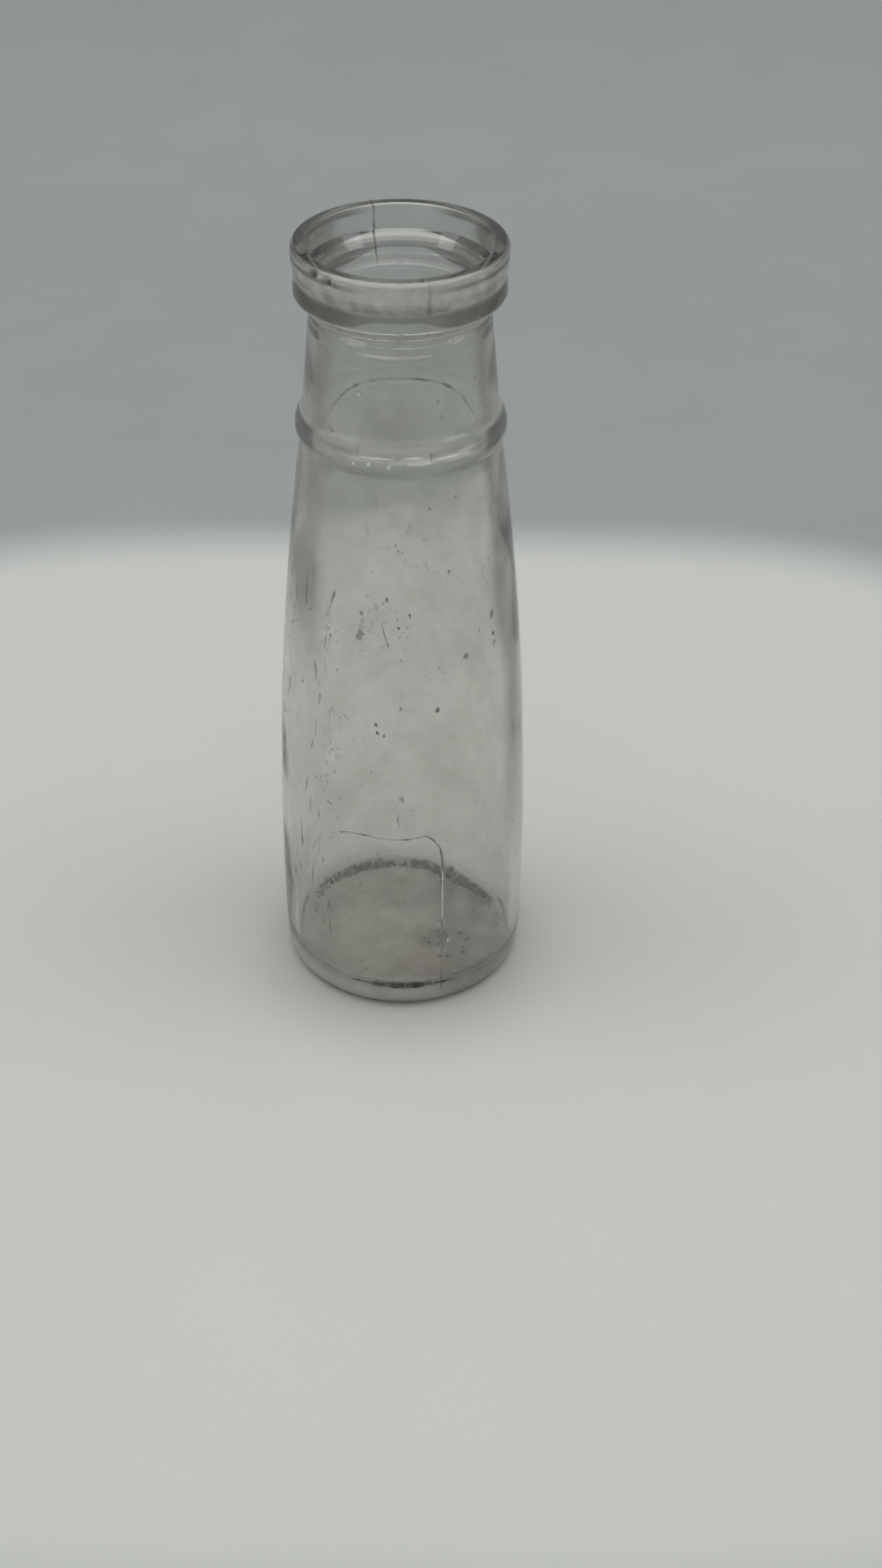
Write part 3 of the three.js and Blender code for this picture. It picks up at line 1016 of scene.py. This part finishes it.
class Marks:
    """Thin strips and dabs on the glass, gathered for one mesh."""

    def __init__(self, seed):
        self.points, self.faces = [], []
        chance = random.Random(seed)
        self.draw, self.gauss = chance.uniform, chance.gauss

    def widths(self, path, low, high):
        """An uneven width in millimetres for each point of a path."""
        return [self.draw(low, high) * MM for _ in path]

    def strip(self, path, widths, spot=wall_spot):
        """A thin strip along a path of angles and heights."""
        first = len(self.points)
        for number, (angle, height) in enumerate(path):
            before, after = path[max(number - 1, 0)], path[min(number + 1, len(path) - 1)]
            radius, half = outer_radius(height), widths[number] / 2
            run = Vector(((after[0] - before[0]) * radius, after[1] - before[1])).normalized()
            for sign in (-1, 1):
                self.points.append(spot(angle + sign * half * run.y / radius, height - sign * half * run.x))
        for low in range(first, len(self.points) - 2, 2):
            self.faces.append((low, low + 1, low + 3, low + 2))

    def scratch(self, angle, height, length, lean, width):
        """A short leaning scratch, bent a little and thin at its ends."""
        bend = self.draw(-0.08, 0.08)
        path, widths = [], []
        for share in spread(-0.5, 0.5, 6):
            sideways = length * (share * sin(lean) + bend * (0.25 - share * share))
            path.append((angle + sideways / outer_radius(height), height + length * share * cos(lean)))
            swell = 0.15 + 0.85 * sqrt(1 - 4 * share * share)
            widths.append(width * swell * self.draw(0.6, 1.2))
        self.strip(path, widths)

    def dab(self, angle, height, size):
        """A ragged little pit mark."""
        first = len(self.points)
        for turn in full_turn(7):
            reach = size / 2 * self.draw(0.5, 1.2)
            across = reach * cos(turn) / outer_radius(height)
            self.points.append(wall_spot(angle + across, height + 1.3 * reach * sin(turn)))
        self.faces.append(tuple(range(first, len(self.points))))

    def piece(self, name):
        """One mesh of all the marks that stay inside the CAD's box."""
        past = {number for number, p in enumerate(self.points) if max(abs(p.x), abs(p.y)) > MARK_LIMIT}
        return new_object(name, self.points, [face for face in self.faces if not past.intersection(face)])


print("marks lie above the glass by, mm:", round(MARK_LIFT / MM, 2))

# %% Mark the wall
SCRATCHES = [
    # scratches; range of angle in degrees, of height and length in millimetres; lean in degrees; width
    (52, (-88, -34), (24, 140), (2, 9), (4, 7), (0.25, 0.6)),
    (56, (0, 360), (24, 160), (1.2, 5), (0, 25), (0.2, 0.5)),
]
PITS = [
    # angle in degrees, height and size in millimetres
    (-19.9, 127.1, 2.0), (-19.4, 128.6, 1.7), (-18.8, 130.4, 1.5), (-18.5, 132.2, 1.2), (-18.9, 134.4, 1.3),
    (-6.1, 139.2, 1.2), (-8.0, 138.0, 1.0), (32.9, 119.3, 2.0), (51.5, 119.5, 2.0), (51.0, 128.5, 1.9),
    (51.2, 122.5, 1.4), (25.5, 145.9, 1.1), (-11.2, 100.6, 1.2), (-10.6, 98.0, 1.2), (-7.4, 97.2, 1.0),
    (0.7, 76.6, 2.0), (17.7, 104.8, 1.5), (0.4, 106.0, 1.2),
]
PIT_PATCHES = [
    # angle in degrees, height in millimetres, pits, reach in degrees and in millimetres
    (-14, 132, 12, 4.0, 4.0), (-36, 78, 26, 4.0, 9.0), (-2, 131, 10, 3.0, 4.0),
]
OTHER_PATCHES, LONE_PITS, CHIP_DABS = 10, 60, 9
NICKS = [
    # angle in degrees, height, length and width in millimetres, lean in degrees
    (-22.9, 180.9, 2.2, 0.5, 6), (17.4, 179.6, 2.4, 0.5, 6), (-72.4, 33.9, 10.4, 0.7, 88),
    (-54.3, 54.9, 10.8, 0.6, 0), (-41.4, 103.6, 4.0, 0.7, 4), (-36.2, 134.4, 9.9, 0.8, 16),
    (-56.8, 43.5, 10.6, 0.5, -19), (-6.8, 128.3, 8.2, 0.45, -16), (-11.8, 136.9, 2.8, 1.0, -10),
]


def scratch_wall(wall):
    draw, gauss = wall.draw, wall.gauss
    for count, angles, heights, lengths, lean, widths in SCRATCHES:
        for _ in range(count):
            angle, height = radians(draw(*angles)), draw(*heights) * MM
            length, tilt = draw(*lengths) * MM, radians(gauss(*lean))
            wall.scratch(angle, height, length, tilt, draw(*widths) * MM)


def pit_wall(wall):
    draw, gauss = wall.draw, wall.gauss
    others = [(draw(60, 300), draw(70, 125), 14, 4.0, 4.0) for _ in range(OTHER_PATCHES)]
    for middle, level, count, wide, high in PIT_PATCHES + others:
        for _ in range(count):
            angle, height = radians(middle + gauss(0, wide)), (level + gauss(0, high)) * MM
            wall.dab(angle, height, draw(0.4, 1.0) * MM)
    for degrees, height, size in PITS:
        wall.dab(radians(degrees), height * MM, size * MM)
    for _ in range(LONE_PITS):
        angle, height = draw(0, 2 * pi), draw(22, 165) * MM
        wall.dab(angle, height, draw(0.4, 1.0) * MM)


wall = Marks(23)
scratch_wall(wall)
pit_wall(wall)
print("scratches and pits:", sum(row[0] for row in SCRATCHES), "scratches,", len(wall.faces), "faces")

# %% Lay dark lines
TIDE_LINE = [
    # angle in degrees and height in millimetres
    (-30.0, 62.0), (-24.0, 62.9), (-16.7, 63.2), (-10.0, 62.7), (-3.9, 62.5), (2.8, 62.7), (8.0, 63.2),
    (11.8, 63.5), (15.0, 61.8), (18.3, 58.7), (19.1, 55.5), (19.3, 51.0),
]
BORE_RING, BORE_DIP, RING_WIDTH, RING_REACH = *mm(176.6, 4.8, 1.5), radians(62)
HEEL_DARK_BAND = {"angles": (-25, 26), "height": 8.5 * MM, "width": 2.6 * MM}
GRIME_TONES = (0.045, 0.044, 0.04, 1), (0.17, 0.17, 0.155, 1)
GRIME_COVER = (0.15, 0.85, 220, 0.5, 0.22, 0.5)


def line_wall(wall):
    """The line across the front, the far seam of the mouth and the ring behind the bead."""
    draw = wall.draw
    path = [(radians(degrees), height * MM) for degrees, height in TIDE_LINE]
    wall.strip(path, wall.widths(path, 0.3, 0.7))
    seam = [(FINISH_SEAM + pi, height * MM) for height in spread(212.0, 226.4, 16)]
    wall.strip(seam, wall.widths(seam, 0.4, 0.6))
    ring = []
    for share in spread(-1, 1, 36):
        ring.append((pi + share * RING_REACH, BORE_RING - BORE_DIP * share**2 + draw(-0.1, 0.1) * MM))
    swell = [sqrt(sin(pi * number / 38)) for number in range(1, 38)]
    wall.strip(ring, [RING_WIDTH * share * draw(0.4, 1.3) for share in swell], bore_spot)


def darken_heel_front(wall):
    """Two layers of a dark band along the front of the heel."""
    draw, height = wall.draw, HEEL_DARK_BAND["height"]
    for share in (1.0, 0.75):
        angles = [radians(degrees) for degrees in spread(*HEEL_DARK_BAND["angles"], 24)]
        path = [(angle, height + draw(-0.15, 0.15) * MM) for angle in angles]
        swell = [sin(pi * (number + 0.6) / 25.2) for number in range(25)]
        wall.strip(path, [share * HEEL_DARK_BAND["width"] * part * draw(0.7, 1.1) for part in swell])


def soil_chips(wall):
    """Single nicks, and dirt in the chips of the lip."""
    draw, gauss = wall.draw, wall.gauss
    for degrees, height, length, width, lean in NICKS:
        wall.scratch(radians(degrees), height * MM, length * MM, radians(lean), width * MM)
    for chip in CHIPS:
        for _ in range(CHIP_DABS):
            angle, height = chip["angle"] + gauss(0, 0.012), chip["height"] + draw(-0.6, 0.5) * MM
            wall.dab(angle, height, draw(1.0, 1.8) * MM)


line_wall(wall)
darken_heel_front(wall)
soil_chips(wall)
marks = wall.piece("wall_marks")
grime = make_dull("old_grime", 0.8, GRIME_TONES, (300, 0.5, 0.2), (2500, 0.05 * MM), GRIME_COVER)
dress(marks, grime)
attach(marks, "root")

# %% [markdown]
# ## Painted glints and pale specks
# The front of the bead carries dashes and small patches of painted highlight, and the neck has painted
# highlights in pale lines just under the collar. A pale line runs along the seam low on the body, and a few
# pale specks stand beside the seeds. Pale strips and dabs on the glass show them; a rougher glass would
# stay dark where nothing lights it from behind.

# %% Paint glints on the bead and the neck
# Painted highlights: every dash here is a glint on the bead or under the collar.
PAINTED_GLINT_DASHES = [
    # first and last angle in degrees, height and width in millimetres
    (-21.5, -2.5, 179.6, 0.4), (2, 12.5, 179.8, 0.4), (4.5, 18, 178.3, 1), (18.6, 34, 179, 0.45),
    (-38, -20, 209.3, 2), (31, 45, 209.3, 2), (-19, 30, 208.9, 0.5), (-27, 20, 206.4, 0.9),
]
# Painted highlights at the bead's front; the other dabs are pale specks beside the seeds and on the seam.
PALE_DABS = [
    # angle in degrees, height and size in millimetres
    (-24.6, 177.4, 1.1), (-15.9, 177.7, 1.1), (-5.1, 177.5, 1.4),
    (22.4, 23.8, 0.9), (19.6, 47.5, 0.8), (-24.1, 195.8, 0.8),
]
# The tones of the painted highlights, the pale specks and the seam line.
GLINT_TONES, GLINT_COVER = ((0.86, 0.86, 0.83, 1), (0.70, 0.70, 0.67, 1)), (0.7, 0.97, 260, 0.45, 0.15)


def paint_glints_and_specks(glint_marks):
    draw = glint_marks.draw
    swell = [0.3 + 0.7 * sin(pi * number / 12) for number in range(13)]
    for first, last, height, width in PAINTED_GLINT_DASHES:
        angles = [radians(degrees) for degrees in spread(first, last, 12)]
        path = [(angle, (height + draw(-0.06, 0.06)) * MM) for angle in angles]
        glint_marks.strip(path, [width * MM * share * draw(0.9, 1.15) for share in swell])
    seam = [(BODY_SEAM, height * MM) for height in spread(33.0, 50.0, 12)]
    glint_marks.strip(seam, glint_marks.widths(seam, 0.2, 0.35))
    for degrees, height, size in PALE_DABS:
        glint_marks.dab(radians(degrees), height * MM, size * MM)


glint_marks = Marks(31)
paint_glints_and_specks(glint_marks)
glint_mesh = glint_marks.piece("painted_glints")
white = make_dull("painted_glint_white", 0.6, GLINT_TONES, (400, 0.5, 0.2), (2000, 0.05 * MM), GLINT_COVER)
dress(glint_mesh, white)
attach(glint_mesh, "root")

# %% [markdown]
# ## The floor
# The bottle stands on a plain pale floor that turns grey further out, like a cloth in front of a wall.
# Two planes could stand for the cloth and the wall, but one floor with a soft edge in its tone keeps the
# view through the glass plain. The edge is a rounded square, and a soft shadow is painted round the foot.

# %% Lay the floor
FLOOR_DROP, PALE_REACH, FLOOR_REACH = *mm(0.2, 246), 4.0
PALE_TONE, NEAR_GREY, GREY_TONE = (0.50, 0.51, 0.485, 1), (0.272, 0.29, 0.286, 1), (0.29, 0.31, 0.305, 1)
FOOT_SHADOW_TONE, CLOUD_TONE = (0.27, 0.275, 0.26, 1), (0.42, 0.43, 0.41, 1)
FOOT_SPOT, FOOT_SHADE = (0, -14 * MM, 0), mm(16, 56)


def make_floor_finish():
    material, tree, shader = new_material("pale_floor", Roughness=0.9, Specular_IOR_Level=0.1)
    reach = vector("MULTIPLY", "Vector", object_place(tree), (1 / PALE_REACH, 1 / PALE_REACH, 0))
    whole = vector("ABSOLUTE", "Vector", reach, (0, 0, 0))
    squarish = vector("POWER", "Vector", whole, (4, 4, 4))
    distance = vector("DOT_PRODUCT", "Value", squarish, (1, 1, 0))
    grey = blend(ramp(distance, 1.2, 60.0), NEAR_GREY, GREY_TONE)
    tone = blend(ramp(distance, 0.65, 1.35), PALE_TONE, grey)
    # Painted shadow: the floor's tone darkens round the foot of the bottle.
    from_foot = vector("DISTANCE", "Value", object_place(tree), FOOT_SPOT)
    tone = blend(ramp(from_foot, *FOOT_SHADE, 0.5, 0), tone, FOOT_SHADOW_TONE)
    soft = times(clouds(tree, 14, 0.5, 0.25), 0.10)
    feed(shader["Base Color"], blend(soft, tone, CLOUD_TONE))
    feed(shader["Normal"], grain_normal(tree, 1200, 0.1 * MM))
    return material


sides = ((-1, -1), (1, -1), (1, 1), (-1, 1))
corners = [(x * FLOOR_REACH, y * FLOOR_REACH, -FLOOR_DROP) for x, y in sides]
floor = new_object("floor", corners, [(0, 1, 2, 3)], smooth=False)
floor.data.materials.append(make_floor_finish())
print("floor, m:", [round(side, 1) for side in floor.dimensions])

# %% [markdown]
# ## The light
# The photograph was taken indoors in soft light. Lamps alone would put hard glints on the glass, so most
# of the light is a soft room: bright overhead, grey behind, darker in front, where the photographer stood.
# Two large, weak softboxes above the bottle round it off.

# %% Light the scene
OVERHEAD, BEHIND, IN_FRONT = (1.22, 1.24, 1.24, 1), (0.27, 0.285, 0.28, 1), (0.09, 0.088, 0.08, 1)
SOFTBOX_SIZE, SOFTBOX_POWER, SOFTBOX_AIM = (0.5, 0.9), 3, (0, 0, 0.1)
SOFTBOXES = {"left_softbox": (-0.45, 0.0, 1.2), "right_softbox": (0.45, 0.0, 1.2)}


def make_world():
    world = bpy.data.worlds.new("soft_room")
    world.use_nodes = True
    tree = world.node_tree
    direction = add_node(tree, "ShaderNodeTexCoord").outputs["Generated"]
    _, y, z = add_node(tree, "ShaderNodeSeparateXYZ", Vector=direction).outputs
    walls = blend(ramp(y, -0.2, 0.5), IN_FRONT, BEHIND)
    behind = times(most(y, 0.0), 0.6)
    room = blend(ramp(maths("SUBTRACT", z, behind), 0.25, 0.8), walls, OVERHEAD)
    feed(tree.nodes["Background"].inputs["Color"], room)
    bpy.context.scene.world = world


def add_softbox(name, spot):
    light = bpy.data.lights.new(name, "AREA")
    light.shape = "RECTANGLE"
    light.size, light.size_y = SOFTBOX_SIZE
    light.energy = SOFTBOX_POWER
    lamp = bpy.data.objects.new(name, light)
    bpy.context.scene.collection.objects.link(lamp)
    lamp.location = spot
    lamp.rotation_euler = (Vector(SOFTBOX_AIM) - Vector(spot)).to_track_quat("-Z", "Y").to_euler()


make_world()
for name, spot in SOFTBOXES.items():
    add_softbox(name, spot)
bpy.context.scene.view_settings.view_transform = "Standard"
print("lamps:", ", ".join(SOFTBOXES))
